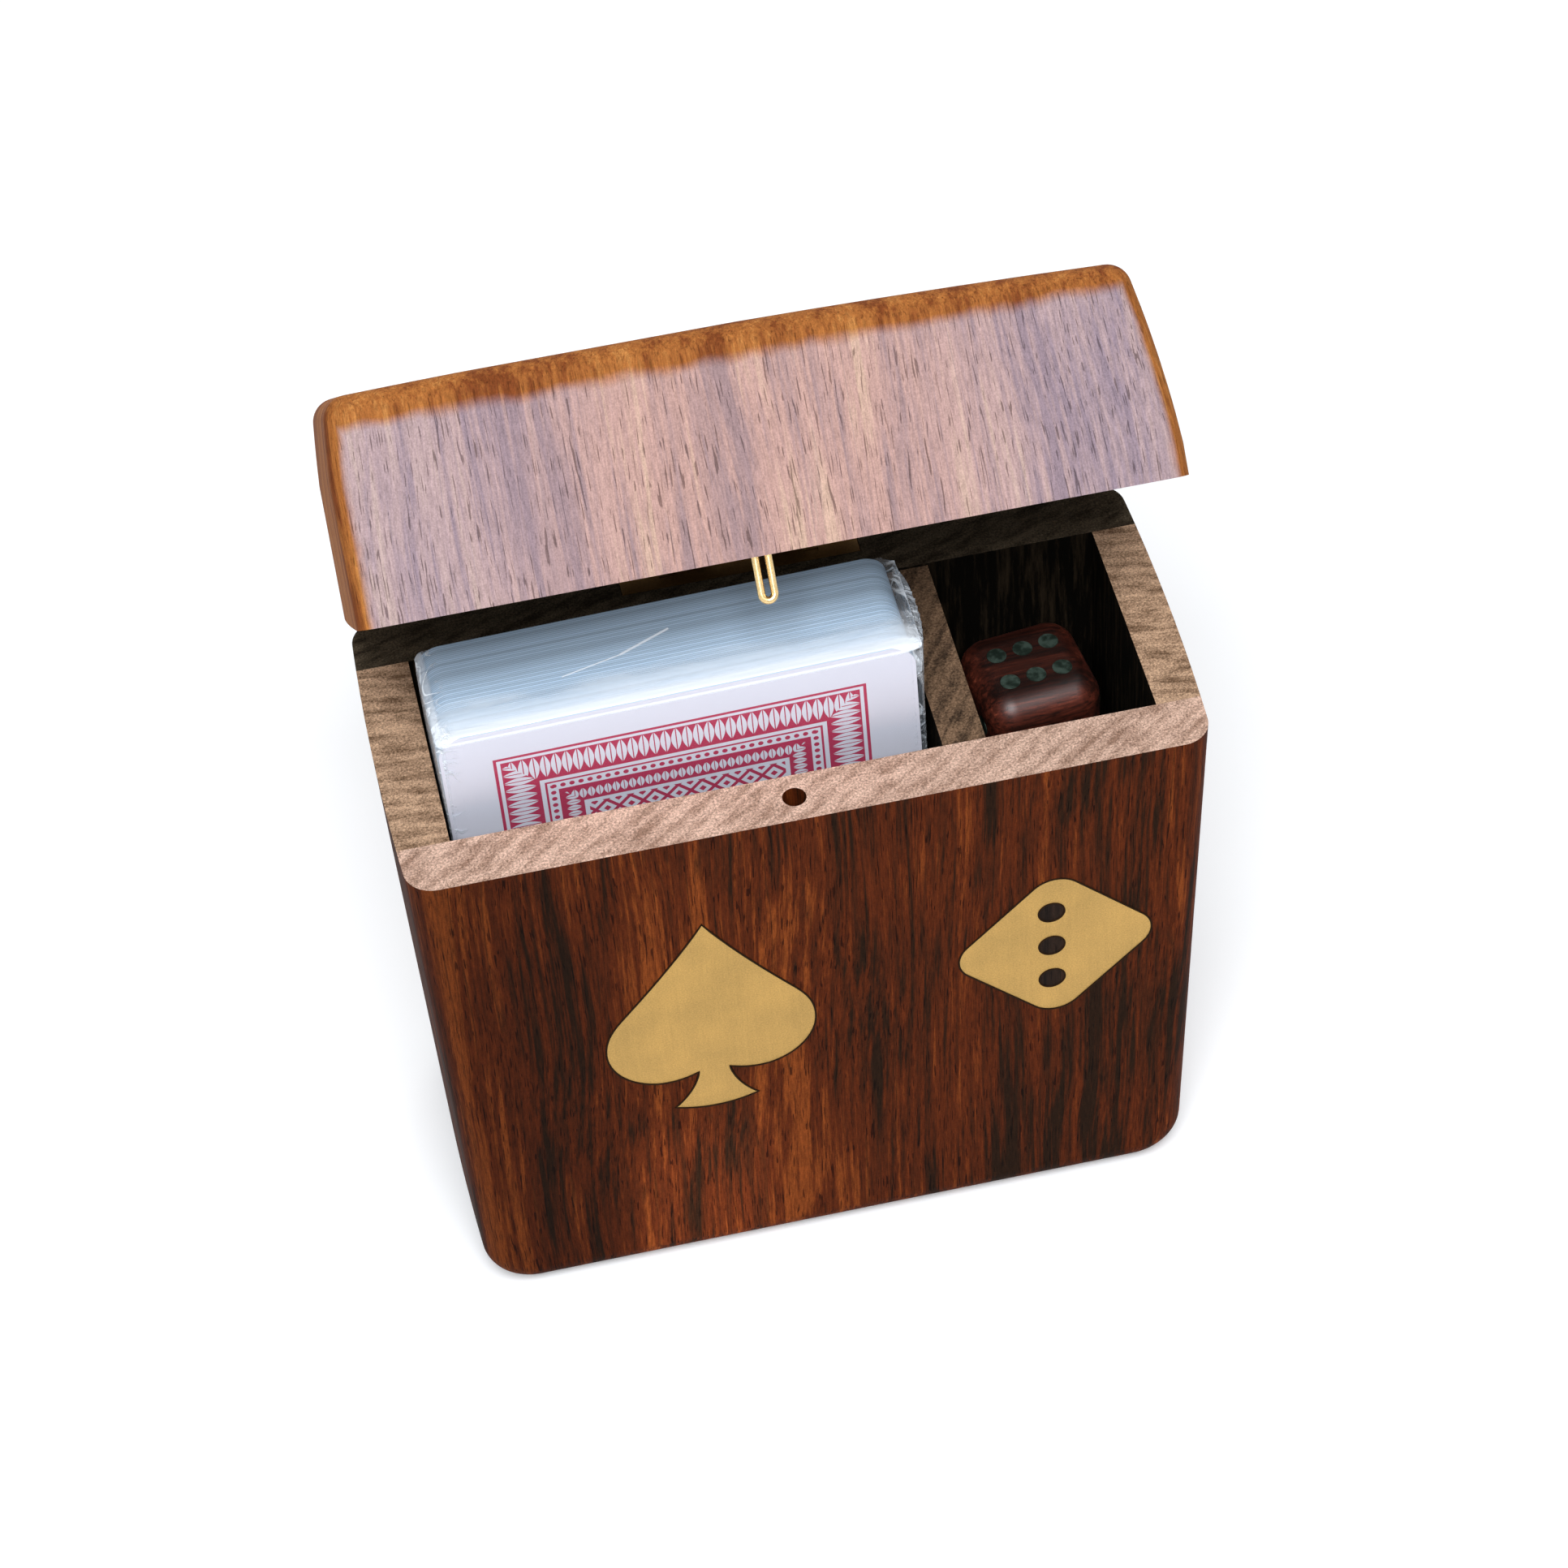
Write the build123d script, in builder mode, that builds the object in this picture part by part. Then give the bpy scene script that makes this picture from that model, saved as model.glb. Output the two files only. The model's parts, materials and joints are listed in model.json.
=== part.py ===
"""Wooden playing card box with a hinged lid, a deck in film and a stack of wooden dice.

Frame: millimetres, +Z up, the front face looks along -Y and +X is to the right of it.
The origin is at the middle of the flat underside. The lid is modelled where the
photograph shows it, swung open about its hinge pin.
"""

from build123d import *
from math import asin, cos, radians, sin
import os

# ---------------------------------------------------------------- driving dimensions
# the cards, and the clear film that wraps the deck
card_width = 63.0
card_height = 88.0
card_thickness = 0.31
card_spacing = 0.01
card_count = 54
card_corner = 3.2
film_thickness = 0.15
film_clearance = 0.05

# the dice and their inlaid metal pips
die_size = 16.5
die_round = 4.0
pip_diameter = 2.7
pip_depth = 0.6
pip_column = 2.6
pip_row = 3.75
pip_clearance = 0.03
stack_clearance = 0.02
die_wall_clearance = 0.08

# boards of the box, and the play that its contents have in their slots
front_wall = 7.9
back_wall = 8.65
left_wall = 7.4
right_wall = 6.4
divider_thickness = 5.8
divider_drop = 0.4
floor_thickness = 12.2
pocket_depth = 74.8
deck_side_play = 2.3
deck_front_gap = 4.4
dice_side_play = 6.5
dice_row_play = 0.25
side_clearance = 0.15

# lid
top_board = 8.0
lid_headroom = 6.5
lid_gap = 0.3
lid_open_angle = 42.9

# outer form: sides that lean in and bow, and rounded edges
base_taper = 3.2
side_bow = 0.8
base_corner_round = 7.5
edge_round = 4.0
lid_bow = 0.3
lid_left_slope = 0.044
lid_right_slope = 0.132
lid_swell_share = 0.0203
lid_left_fall = 0.3
lid_right_fall = 1.4
lid_edge_round = 3.2

# inlays in the front face, placed from its left and right ends and from the rim
inlay_thickness = 1.6
inlay_clearance = 0.15
inlay_floor_clearance = 0.05
spade_inset = 38.05
spade_tip_drop = 16.8
spade_half_width = 14.45
spade_height = 37.8
spade_widest_drop = 22.8
spade_lobe_reach = 7.5
spade_lobe_drop = 31.0
spade_notch_half_width = 2.1
spade_notch_drop = 30.0
spade_foot_half_width = 5.8
spade_foot_drop = 36.7
spade_shoulder = (11.2, -15.4)
spade_lobe_bulge = (12.7, -27.9)
spade_under_lobe = (4.7, -30.9)
spade_waist = (3.1, -33.1)
spade_tip_slope = (0.62, -1)
inlay_die_inset = 22.35
inlay_die_drop = 35.0
inlay_die_side = 21.4
inlay_die_round = 4.1
inlay_pip_diameter = 3.6
inlay_pip_pitch = 6.8
inlay_pip_shift = -0.5
inlay_pip_clearance = 0.03

# catch: a hairpin of brass wire in the lid, and the hole that it presses into
catch_x = -1.9
catch_inset = 4.05
catch_wire = 1.0
catch_width = 2.7
catch_reach = 6.4
catch_setback = 0.2
catch_root = 5.5
catch_root_clearance = 0.1
catch_hole_diameter = 3.2
catch_hole_depth = 8.0

# hinge: one narrow brass butt hinge in the middle of the back
hinge_length = 33.0
hinge_offset = 1.3
knuckle_diameter = 2.4
knuckle_count = 5
knuckle_gap = 0.1
leaf_depth = 3.8
leaf_thickness = 0.7
leaf_setback = 0.1
hinge_pin_diameter = 1.1
hinge_pin_clearance = 0.04
screw_diameter = 1.2
screw_head = 2.0
screw_length = 6.0
screw_spacing = 20.0
screw_clearance = 0.05
screw_slot_width = 0.3
screw_slot_depth = 0.25
screw_tip = 0.8
screw_rim = 0.2
mortise_clearance = 0.1

# ---------------------------------------------------------------- sizes that follow
card_pitch = card_thickness + card_spacing
film_around = film_clearance + film_thickness
wrap_width = card_width + 2 * film_around
wrap_height = card_height + 2 * film_around
wrap_depth = card_count * card_pitch - card_spacing + 2 * film_around

deck_slot = wrap_width + deck_side_play
dice_slot = die_size + dice_side_play
slot_depth = 2 * die_size + dice_row_play

box_width = left_wall + deck_slot + divider_thickness + dice_slot + right_wall
box_depth = front_wall + slot_depth + back_wall
body_height = floor_thickness + pocket_depth

half_width = box_width / 2
half_depth = box_depth / 2
deck_slot_left = -half_width + left_wall
deck_slot_right = deck_slot_left + deck_slot
dice_slot_left = deck_slot_right + divider_thickness
dice_slot_right = dice_slot_left + dice_slot
slot_front = -half_depth + front_wall
slot_back = slot_front + slot_depth

# the deck leans to the left as far as its play lets it
deck_lean = asin((deck_side_play - 2 * side_clearance) / wrap_height)
deck_proud = wrap_height * cos(deck_lean) + wrap_width * sin(deck_lean) - pocket_depth
lid_cavity = deck_proud + lid_headroom
lid_height = lid_cavity + top_board
lid_bottom = body_height + lid_gap
lid_top = lid_bottom + lid_height
lid_left_lean = lid_height * lid_left_slope
lid_right_lean = lid_height * lid_right_slope
lid_side_swell = lid_height * lid_swell_share
rest_clearance = 0.02

# limits of the cutting blocks, well outside the form
past_form = 10.0
left_out = -half_width - past_form
right_out = half_width + past_form
front_out = -half_depth - past_form
back_out = half_depth + past_form

# the lid swings about the hinge pin, which lies just behind the back face
hinge_y = half_depth + hinge_offset
hinge_z = body_height + lid_gap / 2
hinge_point = Location((0, hinge_y, hinge_z))
lid_swing = hinge_point * Location((0, 0, 0), (-lid_open_angle, 0, 0)) * hinge_point.inverse()


def swung(plane):
    """The place that a plane of the closed lid takes when the lid is open."""
    return Plane(lid_swing * plane.location)


def finish(piece, name):
    """Name a finished piece and write it as its own file."""
    piece.part.label = name
    export_step(piece.part, f"parts/{name}.step")


def rectangle(plane, x_low, x_high, y_low, y_high):
    """A rectangle between two corners on a plane."""
    with BuildSketch(plane) as outline:
        with Locations(((x_low + x_high) / 2, (y_low + y_high) / 2)):
            Rectangle(x_high - x_low, y_high - y_low)
    return outline.sketch


os.makedirs("parts", exist_ok=True)


# ---------------------------------------------------------------- outer forms
def plan_outline(plane, side_inset, bow):
    """The box seen from above: straight front and back, gently bowed sides."""
    side = half_width - side_inset
    end = side - bow
    with BuildSketch(plane) as outline:
        with BuildLine():
            Line((-end, -half_depth), (end, -half_depth))
            ThreePointArc((end, -half_depth), (side, 0), (end, half_depth))
            Line((end, half_depth), (-end, half_depth))
            ThreePointArc((-end, half_depth), (-side, 0), (-end, -half_depth))
        make_face()
    return outline.sketch


# the whole lower block before it is hollowed: tapered, with every outer edge rounded
with BuildPart() as body_form:
    add(plan_outline(Plane.XY, base_taper, side_bow))
    add(plan_outline(Plane.XY.offset(body_height), 0, side_bow))
    loft(ruled=True)
    base_sides = body_form.faces().sort_by(Axis.Z)[0].edges().sort_by(Axis.X)
    fillet([base_sides[0], base_sides[-1]], base_corner_round)
    upright_faces = body_form.faces().filter_by(Axis.Y).sort_by(Axis.Y)
    rim_edges = body_form.edges().filter_by_position(Axis.Z, body_height, body_height)
    fillet((upright_faces[0].edges() + upright_faces[-1].edges()) - rim_edges, edge_round)

# the lid block in its closed place: its right end leans in more and is a little lower
left_shoulder = (-half_width + lid_left_lean, lid_top - lid_left_fall)
right_shoulder = (half_width - lid_right_lean, lid_top - lid_right_fall)
left_waist = (-half_width + lid_left_lean / 2 - lid_side_swell, lid_bottom + lid_height / 2)
right_waist = (half_width - lid_right_lean / 2 + lid_side_swell, lid_bottom + lid_height / 2)
with BuildPart() as lid_form:
    add(plan_outline(Plane.XY.offset(lid_bottom), 0, lid_bow))
    extrude(amount=lid_height)
    with BuildSketch(Plane.XZ):
        with BuildLine():
            Line((-half_width, lid_bottom), (half_width, lid_bottom))
            ThreePointArc((half_width, lid_bottom), right_waist, right_shoulder)
            ThreePointArc(right_shoulder, (0, lid_top), left_shoulder)
            ThreePointArc(left_shoulder, left_waist, (-half_width, lid_bottom))
        make_face()
    extrude(amount=half_depth + past_form, both=True, mode=Mode.INTERSECT)
    cut_edges = lid_form.edges().filter_by_position(Axis.Z, lid_bottom, lid_bottom)
    fillet(lid_form.edges() - cut_edges, lid_edge_round)

open_lid_form = lid_swing * lid_form.part


# ---------------------------------------------------------------- inlays in the front
spade_tip = (-half_width + spade_inset, -half_depth, body_height - spade_tip_drop)
inlay_die_middle = (half_width - inlay_die_inset, -half_depth, body_height - inlay_die_drop)
spade_plane = Plane(spade_tip, x_dir=(1, 0, 0), z_dir=(0, -1, 0))
inlay_die_plane = Plane(inlay_die_middle, x_dir=(1, 0, 0), z_dir=(0, -1, 0))
inlay_pip_places = [(inlay_pip_shift, step * inlay_pip_pitch) for step in (-1, 0, 1)]


# each point of the spade's right half, and the way that it moves as the outline grows
spade_points = [
    ((0, 0), (0, 1.9)),
    (spade_shoulder, (0.8, 0.6)),
    ((spade_half_width, -spade_widest_drop), (1, 0)),
    (spade_lobe_bulge, (0.9, -0.5)),
    ((spade_lobe_reach, -spade_lobe_drop), (0.2, -1)),
    (spade_under_lobe, (0, -1)),
    ((spade_notch_half_width, -spade_notch_drop), (1.6, -1)),
    (spade_waist, (1, 0.5)),
    ((spade_foot_half_width, -spade_foot_drop), (2, -0.5)),
    ((0, -spade_height), (0, -1)),
]


def spade_outline(growth):
    """A spade with its tip at the plane's origin, one half drawn and then mirrored."""
    points = [(x + growth * out_x, y + growth * out_y) for (x, y), (out_x, out_y) in spade_points]
    tip, shoulder, widest, bulge, lobe, under_lobe, notch, waist, foot, foot_middle = points
    with BuildSketch(spade_plane) as outline:
        with BuildLine():
            Spline(tip, shoulder, widest, tangents=(spade_tip_slope, (0, -1)))
            ThreePointArc(widest, bulge, lobe)
            ThreePointArc(lobe, under_lobe, notch)
            ThreePointArc(notch, waist, foot)
            mirror(about=Plane.YZ)
            ThreePointArc(foot, foot_middle, (-foot[0], foot[1]))
        make_face()
    return outline.sketch


def inlay_die_outline(growth):
    """A rounded square standing on its corner."""
    side = inlay_die_side + 2 * growth
    with BuildSketch(inlay_die_plane) as outline:
        RectangleRounded(side, side, inlay_die_round + growth, rotation=45)
    return outline.sketch


with BuildPart() as spade_inlay:
    extrude(spade_outline(0), amount=-inlay_thickness)
finish(spade_inlay, "spade_inlay")

with BuildPart() as die_inlay:
    extrude(inlay_die_outline(0), amount=-inlay_thickness)
    with BuildSketch(inlay_die_plane):
        with Locations(*inlay_pip_places):
            Circle(inlay_pip_diameter / 2)
    extrude(amount=-inlay_thickness, mode=Mode.SUBTRACT)
finish(die_inlay, "die_inlay")

# the pips are dark wooden plugs that fill the holes in the plate
with BuildPart() as die_inlay_pips:
    with BuildSketch(inlay_die_plane):
        with Locations(*inlay_pip_places):
            Circle(inlay_pip_diameter / 2 - inlay_pip_clearance)
    extrude(amount=-inlay_thickness)
finish(die_inlay_pips, "die_inlay_pips")

# ---------------------------------------------------------------- boards of the body
inlay_pocket_depth = inlay_thickness + inlay_floor_clearance

with BuildPart() as front_board:
    add(body_form.part)
    extent = rectangle(Plane.XY, left_out, right_out, front_out, slot_front)
    extrude(extent, amount=body_height, mode=Mode.INTERSECT)
    with BuildSketch(Plane.XY.offset(body_height)):
        with Locations((catch_x, -half_depth + catch_inset)):
            Circle(catch_hole_diameter / 2)
    extrude(amount=-catch_hole_depth, mode=Mode.SUBTRACT)
    extrude(spade_outline(inlay_clearance), amount=-inlay_pocket_depth, mode=Mode.SUBTRACT)
    extrude(inlay_die_outline(inlay_clearance), amount=-inlay_pocket_depth, mode=Mode.SUBTRACT)
finish(front_board, "front_board")

leaf_back = half_depth - leaf_setback
leaf_front = leaf_back - leaf_depth
mortise_half = hinge_length / 2 + mortise_clearance
mortise_front = leaf_front - mortise_clearance
screw_row = (leaf_front + leaf_back) / 2
screw_places = [(-screw_spacing / 2, screw_row), (screw_spacing / 2, screw_row)]
lower_screw_places = [Location((x, y, body_height)) for x, y in screw_places]
upper_screw_places = [lid_swing * Location((x, y, lid_bottom), (180, 0, 0)) for x, y in screw_places]

# the hole for one screw: a countersink in the leaf, then a pilot in the wood
with BuildPart() as screw_hole:
    with BuildSketch(Plane.XZ):
        head_edge = screw_head / 2 + screw_clearance
        shank_edge = screw_diameter / 2 + screw_clearance
        hole_bottom = -screw_length - screw_clearance
        with BuildLine():
            Polyline(
                (0, screw_clearance),
                (head_edge, screw_clearance),
                (head_edge, -screw_rim),
                (shank_edge, -leaf_thickness),
                (shank_edge, hole_bottom),
                (0, hole_bottom),
                (0, screw_clearance),
            )
        make_face()
    revolve(axis=Axis.Z)


def mortise_outline(plane):
    """The shallow seat of a hinge leaf, open to the back face."""
    return rectangle(plane, -mortise_half, mortise_half, mortise_front, back_out)


with BuildPart() as back_board:
    add(body_form.part)
    extent = rectangle(Plane.XY, left_out, right_out, slot_back, back_out)
    extrude(extent, amount=body_height, mode=Mode.INTERSECT)
    extrude(mortise_outline(Plane.XY.offset(body_height)), amount=-leaf_thickness, mode=Mode.SUBTRACT)
    with Locations(*lower_screw_places):
        add(screw_hole.part, mode=Mode.SUBTRACT)
finish(back_board, "back_board")

with BuildPart() as left_end:
    add(body_form.part)
    extent = rectangle(Plane.XY, left_out, deck_slot_left, slot_front, slot_back)
    extrude(extent, amount=body_height, mode=Mode.INTERSECT)
finish(left_end, "left_end")

with BuildPart() as right_end:
    add(body_form.part)
    extent = rectangle(Plane.XY, dice_slot_right, right_out, slot_front, slot_back)
    extrude(extent, amount=body_height, mode=Mode.INTERSECT)
finish(right_end, "right_end")

with BuildPart() as floor_board:
    add(body_form.part)
    extent = rectangle(Plane.XY, deck_slot_left, dice_slot_right, slot_front, slot_back)
    extrude(extent, amount=floor_thickness, mode=Mode.INTERSECT)
finish(floor_board, "floor_board")

with BuildPart() as divider:
    floor_top = Plane.XY.offset(floor_thickness)
    extent = rectangle(floor_top, deck_slot_right, dice_slot_left, slot_front, slot_back)
    extrude(extent, amount=pocket_depth - divider_drop)
finish(divider, "divider")

# ---------------------------------------------------------------- boards of the lid
lid_cut = swung(Plane.XY.offset(lid_bottom))
lid_slot_top = swung(Plane.XY.offset(lid_bottom + lid_cavity))

with BuildPart() as lid_front_board:
    add(open_lid_form)
    extent = rectangle(lid_cut, left_out, right_out, front_out, slot_front)
    extrude(extent, amount=lid_height, mode=Mode.INTERSECT)
    with BuildSketch(lid_cut):
        with Locations((catch_x, -half_depth + catch_inset + catch_setback)):
            Circle(catch_width / 2 + catch_root_clearance)
    extrude(amount=catch_root + catch_root_clearance, mode=Mode.SUBTRACT)
finish(lid_front_board, "lid_front_board")

with BuildPart() as lid_back_board:
    add(open_lid_form)
    extent = rectangle(lid_cut, left_out, right_out, slot_back, back_out)
    extrude(extent, amount=lid_height, mode=Mode.INTERSECT)
    extrude(mortise_outline(lid_cut), amount=leaf_thickness, mode=Mode.SUBTRACT)
    with Locations(*upper_screw_places):
        add(screw_hole.part, mode=Mode.SUBTRACT)
finish(lid_back_board, "lid_back_board")

with BuildPart() as lid_left_end:
    add(open_lid_form)
    extent = rectangle(lid_cut, left_out, deck_slot_left, slot_front, slot_back)
    extrude(extent, amount=lid_height, mode=Mode.INTERSECT)
finish(lid_left_end, "lid_left_end")

with BuildPart() as lid_right_end:
    add(open_lid_form)
    extent = rectangle(lid_cut, dice_slot_right, right_out, slot_front, slot_back)
    extrude(extent, amount=lid_height, mode=Mode.INTERSECT)
finish(lid_right_end, "lid_right_end")

with BuildPart() as lid_top_board:
    add(open_lid_form)
    extent = rectangle(lid_slot_top, deck_slot_left, dice_slot_right, slot_front, slot_back)
    extrude(extent, amount=top_board, mode=Mode.INTERSECT)
finish(lid_top_board, "lid_top_board")

# ---------------------------------------------------------------- hinge
knuckle_length = hinge_length / knuckle_count
barrel_plane = Plane.YZ.offset(-hinge_length / 2)


def hinge_leaf(leaf_plane, first_knuckle, outward, holes):
    """A leaf with every second knuckle of the barrel, bored for the pin and the screws."""
    with BuildPart() as leaf:
        extent = rectangle(leaf_plane, -hinge_length / 2, hinge_length / 2, leaf_front, leaf_back)
        extrude(extent, amount=outward * leaf_thickness)
        for index in range(first_knuckle, knuckle_count, 2):
            start = index * knuckle_length + knuckle_gap / 2
            end = (index + 1) * knuckle_length - knuckle_gap / 2
            left = -hinge_length / 2
            extent = rectangle(leaf_plane, left + start, left + end, leaf_back, hinge_y)
            extrude(extent, amount=outward * leaf_thickness)
            with BuildSketch(barrel_plane.offset(start)):
                with Locations((hinge_y, hinge_z)):
                    Circle(knuckle_diameter / 2)
            extrude(amount=end - start)
        with BuildSketch(barrel_plane):
            with Locations((hinge_y, hinge_z)):
                Circle(hinge_pin_diameter / 2 + hinge_pin_clearance)
        extrude(amount=hinge_length, mode=Mode.SUBTRACT)
        with Locations(*holes):
            add(screw_hole.part, mode=Mode.SUBTRACT)
    return leaf


hinge_leaf_lower = hinge_leaf(Plane.XY.offset(body_height), 0, -1, lower_screw_places)
finish(hinge_leaf_lower, "hinge_leaf_lower")
hinge_leaf_upper = hinge_leaf(lid_cut, 1, 1, upper_screw_places)
finish(hinge_leaf_upper, "hinge_leaf_upper")

with BuildPart() as hinge_pin:
    with BuildSketch(barrel_plane):
        with Locations((hinge_y, hinge_z)):
            Circle(hinge_pin_diameter / 2)
    extrude(amount=hinge_length)
finish(hinge_pin, "hinge_pin")

# one slotted screw, head up at the origin, copied into both leaves
with BuildPart() as screw:
    with BuildSketch(Plane.XZ):
        with BuildLine():
            Polyline(
                (0, 0),
                (screw_head / 2, 0),
                (screw_head / 2, -screw_rim),
                (screw_diameter / 2, -leaf_thickness),
                (screw_diameter / 2, screw_tip - screw_length),
                (0, -screw_length),
                (0, 0),
            )
        make_face()
    revolve(axis=Axis.Z)
    with BuildSketch():
        Rectangle(screw_head, screw_slot_width)
    extrude(amount=-screw_slot_depth, mode=Mode.SUBTRACT)

with BuildPart() as hinge_screws_lower:
    with Locations(*lower_screw_places):
        add(screw.part)
finish(hinge_screws_lower, "hinge_screws_lower")

with BuildPart() as hinge_screws_upper:
    with Locations(*upper_screw_places):
        add(screw.part)
finish(hinge_screws_upper, "hinge_screws_upper")

# ---------------------------------------------------------------- catch
catch_root_point = (catch_x, -half_depth + catch_inset + catch_setback, lid_bottom)
catch_plane = swung(Plane(catch_root_point, x_dir=(1, 0, 0), z_dir=(0, -1, 0)))

with BuildPart() as catch_loop:
    leg = (catch_width - catch_wire) / 2
    bend = catch_wire / 2 + leg - catch_reach
    with BuildLine(catch_plane) as hairpin:
        Line((-leg, catch_root), (-leg, bend))
        ThreePointArc((-leg, bend), (0, bend - leg), (leg, bend))
        Line((leg, bend), (leg, catch_root))
    with BuildSketch(hairpin.line ^ 0):
        Circle(catch_wire / 2)
    sweep()
finish(catch_loop, "catch_loop")

# ---------------------------------------------------------------- the deck in its film
deck_back = slot_front + deck_front_gap + wrap_depth
deck_corner_x = deck_slot_left + side_clearance + wrap_height * sin(deck_lean)
lean_direction = (cos(deck_lean), 0, sin(deck_lean))
deck_corner = (deck_corner_x, deck_back, floor_thickness + rest_clearance)
wrap_plane = Plane(deck_corner, lean_direction, (0, -1, 0))
card_origin = wrap_plane.from_local_coords((film_around, film_around, film_around))
card_plane = Plane(card_origin, lean_direction, (0, -1, 0))

with BuildPart() as card:
    with BuildSketch(card_plane):
        with Locations((card_width / 2, card_height / 2)):
            RectangleRounded(card_width, card_height, card_corner)
    extrude(amount=card_thickness)

with BuildPart() as playing_cards:
    with Locations(*[(0, -index * card_pitch, 0) for index in range(card_count - 1)]):
        add(card.part)
finish(playing_cards, "playing_cards")

with BuildPart() as top_card:
    with Locations((0, -(card_count - 1) * card_pitch, 0)):
        add(card.part)
finish(top_card, "top_card")

with BuildPart() as film_wrap:
    with BuildSketch(wrap_plane):
        with Locations((wrap_width / 2, wrap_height / 2)):
            RectangleRounded(wrap_width, wrap_height, card_corner + film_around)
    extrude(amount=wrap_depth)
    with BuildSketch(wrap_plane.offset(film_thickness)):
        with Locations((wrap_width / 2, wrap_height / 2)):
            inner_width = wrap_width - 2 * film_thickness
            inner_height = wrap_height - 2 * film_thickness
            RectangleRounded(inner_width, inner_height, card_corner + film_clearance)
    extrude(amount=wrap_depth - 2 * film_thickness, mode=Mode.SUBTRACT)
finish(film_wrap, "film_wrap")

# ---------------------------------------------------------------- dice
pip_spots = {
    1: [(0, 0)],
    2: [(-pip_column, -pip_row), (pip_column, pip_row)],
    3: [(-pip_column, -pip_row), (0, 0), (pip_column, pip_row)],
    4: [(x, y) for x in (-pip_column, pip_column) for y in (-pip_row, pip_row)],
    5: [(0, 0)] + [(x, y) for x in (-pip_column, pip_column) for y in (-pip_row, pip_row)],
    6: [(x, y) for x in (-pip_column, pip_column) for y in (-pip_row, 0, pip_row)],
}
# each number's face is turned from the top of the die; opposite faces add up to seven
face_turns = {6: (0, 0, 90), 1: (180, 0, 0), 2: (90, 0, 90), 5: (-90, 0, 90), 3: (0, 90, 0), 4: (0, -90, 0)}

# layer from the floor, place in the slot's free play to the right and back, turn in degrees
dice_places = [
    (0, -0.5, -1, 0),
    (0, 0.4, 1, 0),
    (1, 0.2, -0.15, -6),
    (2, -0.5, 0.3, 4),
    (3, -0.33, 0.46, 7),
]
dice_middle_x = (dice_slot_left + dice_slot_right) / 2
dice_middle_y = (slot_front + slot_back) / 2


def die_location(layer, right, back, turn):
    """The middle of a die that stands in the slot, turned a little about the vertical."""
    swell = die_size * (cos(radians(turn)) + abs(sin(radians(turn))) - 1) / 2
    free_x = (dice_slot - die_size) / 2 - swell - die_wall_clearance
    free_y = (slot_depth - die_size) / 2 - swell - die_wall_clearance
    z = floor_thickness + rest_clearance + layer * (die_size + stack_clearance) + die_size / 2
    return Location((dice_middle_x + right * free_x, dice_middle_y + back * free_y, z), (0, 0, turn))


def pip_sketches(middle, radius):
    """The pips of all six faces as circles on the faces."""
    sketches = []
    for number, turns in face_turns.items():
        face_plane = Plane(middle * Location((0, 0, 0), turns) * Location((0, 0, die_size / 2)))
        with BuildSketch(face_plane) as spots:
            with Locations(*pip_spots[number]):
                Circle(radius)
        sketches.append(spots.sketch)
    return sketches


for number, place in enumerate(dice_places, start=1):
    middle = die_location(*place)
    with BuildPart() as die:
        with BuildSketch(Plane(middle * Location((0, 0, -die_size / 2)))):
            Rectangle(die_size, die_size)
        extrude(amount=die_size)
        fillet(die.edges(), die_round)
        for spots in pip_sketches(middle, pip_diameter / 2 + pip_clearance):
            extrude(spots, amount=-pip_depth, mode=Mode.SUBTRACT)
    finish(die, f"die_{number}")
    with BuildPart() as die_pips:
        for spots in pip_sketches(middle, pip_diameter / 2):
            extrude(spots, amount=-pip_depth)
    finish(die_pips, f"die_{number}_pips")
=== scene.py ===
"""Wooden playing card box with its lid open, a deck in film and a stack of dice.

Metres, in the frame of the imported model: the box stands on z = 0, its front face
looks along -y, and the lid is open as in the photograph.
"""

import json
from math import pi, radians

import bpy
from mathutils import Matrix, Vector


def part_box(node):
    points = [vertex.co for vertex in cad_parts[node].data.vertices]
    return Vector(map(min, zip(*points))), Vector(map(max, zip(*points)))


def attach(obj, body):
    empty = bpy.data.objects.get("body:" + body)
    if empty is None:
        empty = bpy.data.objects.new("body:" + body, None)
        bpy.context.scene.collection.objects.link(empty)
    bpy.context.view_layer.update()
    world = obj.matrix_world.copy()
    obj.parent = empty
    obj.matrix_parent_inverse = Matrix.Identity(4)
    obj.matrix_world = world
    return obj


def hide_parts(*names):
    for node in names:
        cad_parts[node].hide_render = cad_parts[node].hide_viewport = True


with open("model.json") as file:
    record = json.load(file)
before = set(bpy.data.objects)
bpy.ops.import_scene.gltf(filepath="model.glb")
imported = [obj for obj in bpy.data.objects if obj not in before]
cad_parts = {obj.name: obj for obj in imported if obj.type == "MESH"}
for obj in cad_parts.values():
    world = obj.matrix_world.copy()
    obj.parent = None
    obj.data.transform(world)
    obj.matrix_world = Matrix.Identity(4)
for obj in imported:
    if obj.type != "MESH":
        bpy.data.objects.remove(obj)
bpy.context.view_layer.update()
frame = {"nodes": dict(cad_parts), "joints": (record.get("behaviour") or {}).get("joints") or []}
bpy.ops.object.select_all(action="DESELECT")
mm = 0.001


# ---------------------------------------------------------------- boards of the box
# Six boards of oiled rosewood, glued up and shaped as one block. The outside is polished,
# the rim is left as it was sawn, and the slots are rough inside, dark with painted shade.
def paint(red, green, blue):
    """A colour given as it looks on a screen, from 0 to 255."""
    scaled = [value / 255 for value in (red, green, blue)]
    linear = [v / 12.92 if v <= 0.04045 else ((v + 0.055) / 1.055) ** 2.4 for v in scaled]
    return (*linear, 1.0)


def plug(tree, socket, value):
    """Link an output to a socket, or set the socket's own value."""
    if isinstance(value, bpy.types.NodeSocket):
        tree.links.new(value, socket)
    else:
        socket.default_value = value


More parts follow.
